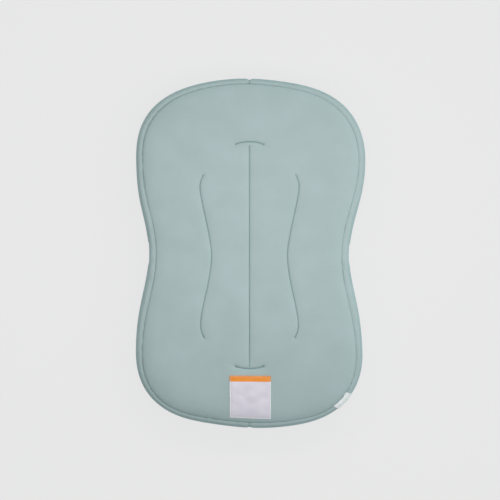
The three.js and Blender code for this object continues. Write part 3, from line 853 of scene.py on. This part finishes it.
patch_foot = rim_spans[-1, -1, 1] + patch_foot_margin
patch_x = np.linspace(-patch_width / 2, patch_width / 2, patch_across) + patch_aside
patch_y = np.linspace(patch_foot, patch_foot + patch_length, patch_down)
patch_plan = np.stack(np.meshgrid(patch_x, patch_y, indexing="ij"), -1)
from_edge = np.minimum(
    patch_width / 2 - np.abs(patch_plan[..., 0] - patch_aside),
    patch_length / 2 - np.abs(patch_plan[..., 1] - patch_foot - patch_length / 2))
below = listed(panel_face)
close = (np.abs(below[:, 0]) < patch_width) & (below[:, 1] < patch_foot + patch_length + lay_margin)
below = below[close]
pairs_of_lines = np.split(patch_plan, patch_across // 2)
laid = np.concatenate([resting_on(pair, below, lay_reach) for pair in pairs_of_lines])
puff = puff_rise * (1 + waves(patch_plan, puff_length, seed=14)) * (1 - np.exp(-from_edge / puff_reach))
ripples = ripple_depth * waves(patch_plan, ripple_length, seed=15) * np.exp(-from_edge / ripple_reach)
patch_top = laid + patch_lift + patch_thickness + puff + ripples
patch_top -= sewn_dip * np.exp(-((from_edge - patch_edge) / sewn_reach) ** 2)
patch_face = at_height(patch_plan, patch_top)
patch_back = at_height(patch_plan, patch_top - patch_thickness)
patch_points = listed(patch_face, patch_back)
patch_cut = patch_points[:, :2] - [patch_aside, patch_foot + patch_length]

float_width, float_slant = 0.55 * MM, 1.9 / MM


def satin_sockets(start):
    """White satin with an orange band woven along one edge: fine floats across, a soft wave in the
    dye, and whiter selvedges. The cut cloth's second direction runs down from the band's edge."""
    along, down = start.on_cut()
    band = (down * -1).math("LESS_THAN", band_length)
    floats = (along * (2 * np.pi / float_width) + down * float_slant).math("SINE")
    mottle = start.noise(scale=60, detail=3)
    inner = mottle.mixed(light(222, 216, 230), light(240, 235, 245))
    at_side = along.math("ABSOLUTE").math("GREATER_THAN", patch_width / 2 - selvedge)
    at_foot = down.math("LESS_THAN", selvedge - patch_length)
    white = at_side.math("MAXIMUM", at_foot).mixed(inner, light(250, 249, 252))
    orange = mottle.mixed(light(244, 142, 40), light(255, 160, 52))
    return {"Base Color": band.mixed(white, orange),
            "Normal": floats.bump(strength=0.25, distance=0.05 * MM)}


patch = new_piece("care_patch", patch_points, walled(patch_face, patch_back), patch_cut)
sewn_in(patch, finish("patch_satin", satin_sockets, {
    "Roughness": 0.45, "Sheen Weight": 0.2, "Specular IOR Level": 0.4}))
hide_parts("foot_patch")


def white_sockets(start):
    """White thread: plies of two tones, too fine to stand out."""
    plies = start.noise(scale=2600, detail=1)
    return {"Base Color": plies.mixed(light(205, 203, 208), light(238, 236, 240))}


seam_x = patch_aside + np.linspace(-1, 1, patch_seam_points) * (patch_width / 2 - patch_edge)
seam_y = patch_foot + patch_edge + np.linspace(0, 1, patch_seam_points) * (patch_length - 2 * patch_edge)
seam_plans = [np.stack(np.broadcast_arrays(seam_x, seam_y[end]), 1) for end in (0, -1)]
seam_plans += [np.stack(np.broadcast_arrays(seam_x[end], seam_y), 1) for end in (0, -1)]
patch_lines = []
for seam_plan in seam_plans:
    seam_height = resting_on(seam_plan, listed(patch_face), seam_lay_reach) + thread_rise
    patch_lines.append((at_height(seam_plan, seam_height), upright))
white_thread = finish("white_thread", white_sockets, {"Roughness": 0.6, "Sheen Weight": 0.2})
sewn_line("patch_stitches", None, patch_lines, white_thread)

# Side tag: a bare folded loop of white woven tape, caught in the rim seam near the hip and lying down
# over the cover.

tag_width, tag_from_hip, tape_thickness, rib_width = 38.5 * MM, 36 * MM, 0.35 * MM, 0.7 * MM
tag_gap, layers_apart = 0.4 * MM, 2.2 * tape_thickness
tag_start, tag_end = 0.04, 2 / 3
tape_wave, tape_wave_length = 0.3 * MM, 26 * MM
tag_across, tag_down, tag_fold, foot_span_points = 26, 22, 7, 401

# The tag's middle lies on the rim's last span, tag_from_hip nearer the lounger's middle than the hip.
foot_span = np.linspace(len(rim_spans) - 1, len(rim_spans), foot_span_points)
tag_rim = points_on(rim_spans, foot_span)
tag_far = lengths_along(tag_rim)
tag_middle = np.interp(tag_from_hip - tag_rim[0, 0], -tag_rim[:, 0], tag_far)
tag_spread = tag_middle + np.linspace(-0.5, 0.5, tag_across) * tag_width
tag_places = np.interp(tag_spread, tag_far, foot_span)
tag_rows = np.interp(tag_places, even_places(cover_stations), np.arange(cover_stations))
tag_columns = np.linspace(tag_start, tag_end, tag_down) * cover_steps
skin, normal = (between(between(grid, tag_rows), tag_columns, 1) for grid in cover_skins[1])

fold_turn = np.linspace(0, np.pi, tag_fold)[None, :, None]
way_down = skin[:, -1:] - skin[:, -2:-1]
way_down /= np.linalg.norm(way_down, axis=2, keepdims=True)
fold_middle = skin[:, -1:] + normal[:, -1:] * (tag_gap + layers_apart / 2)
fold_round = normal[:, -1:] * np.cos(fold_turn) + way_down * np.sin(fold_turn)
tape = np.concatenate([
    (skin + normal * (tag_gap + layers_apart))[:, :-1],
    fold_middle + fold_round * layers_apart / 2,
    (skin + normal * tag_gap)[:, -2::-1],
], axis=1)
tape += outwards(tape) * (tape_wave * waves(tape, tape_wave_length, seed=31))[..., None]
tape_out = outwards(tape) * tape_thickness / 2
tape_length = lengths_along(tape[tag_across // 2])[-1]
cut_x, cut_y = np.linspace(0, tag_width, tag_across), np.linspace(0, tape_length, tape.shape[1])
tape_cut = np.stack(np.meshgrid(cut_x, cut_y, indexing="ij"), -1)


def tape_sockets(start):
    """White woven tape: fine ribs across its width."""
    ribs = (start.on_cut()[1] * (2 * np.pi / rib_width)).math("SINE")
    mottle = start.noise(scale=90, detail=2)
    return {"Base Color": mottle.mixed(light(247, 250, 252), light(254, 255, 255)),
            "Normal": ribs.bump(strength=0.35, distance=0.08 * MM)}


tag = new_piece("folded_tag", listed(tape + tape_out, tape - tape_out), walled(tape, tape),
                listed(tape_cut, tape_cut))
sewn_in(tag, finish("tag_tape", tape_sockets, {"Roughness": 0.5}))
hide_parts("side_tag")

# Setting: the lounger lies face down on a plain pale floor, seen from straight above. The sky is faintly
# blue-green and brighter at its horizon, to the right and to the head, and one wide, soft, slightly warm
# lamp hangs close above, a little to the right and to the head.

floor_half, floor_glow = 4, 0.9
corners = [(x * floor_half, y * floor_half, 0) for x, y in ((-1, -1), (1, -1), (1, 1), (-1, 1))]
floor = bpy.data.meshes.new("floor")
floor.from_pydata(corners, [], [(0, 1, 2, 3)])
ground = bpy.data.objects.new("floor", floor)
bpy.context.scene.collection.objects.link(ground)
paper = bpy.data.materials.new("pale_floor")
paper.use_nodes = True
paper.node_tree.nodes.clear()
start = Yarn(paper.node_tree)
matt = start.node("BsdfPrincipled", {}, {"Base Color": light(232, 232, 232), "Roughness": 1.0})
glow = start.node("Emission", {}, {"Color": light(235, 235, 235), "Strength": 1.0})
seen = start.node("LightPath", {}, {}, "Is Camera Ray") * floor_glow
surface = start.node("MixShader", {}, {0: seen, 1: matt, 2: glow})
start.node("OutputMaterial", {}, {"Surface": surface})
floor.materials.append(paper)

sky_tint, horizon_light, sky_lean = (0.92, 0.99, 1, 1), 1.09, (0.3, 0.18, -0.9)
scene = bpy.context.scene
scene.view_settings.view_transform = "Standard"
scene.world = bpy.data.worlds.new("studio")
scene.world.use_nodes = True
scene.world.node_tree.nodes.clear()
start = Yarn(scene.world.node_tree)
way = start.node("TexCoord", {}, {}, "Generated")
strength = start.node("VectorMath", {"operation": "DOT_PRODUCT"}, {0: way, 1: sky_lean}, "Value")
sky = start.node("Background", {}, {"Color": sky_tint, "Strength": strength + horizon_light})
start.node("OutputWorld", {}, {"Surface": sky})

lamp = bpy.data.lights.new("soft_lamp", "AREA")
lamp.shape, lamp.size, lamp.size_y = "RECTANGLE", 1.1, 0.3
lamp.energy, lamp.color = 4.2, (1, 0.945, 0.93)
lamp_place = bpy.data.objects.new("soft_lamp", lamp)
lamp_place.location = 0.1, 0.11, 0.92
scene.collection.objects.link(lamp_place)

picture_width, picture_middle = 1.05825, (0.0012, 0.0068)
camera_height, film_width, farthest_seen = 12, 36, 50
lens = bpy.data.cameras.new("camera")
lens.sensor_width, lens.clip_end = film_width, farthest_seen
lens.lens = film_width * (camera_height - outer_bulge_height) / picture_width
camera = bpy.data.objects.new("camera", lens)
camera.location = *picture_middle, camera_height
scene.collection.objects.link(camera)
scene.camera = camera
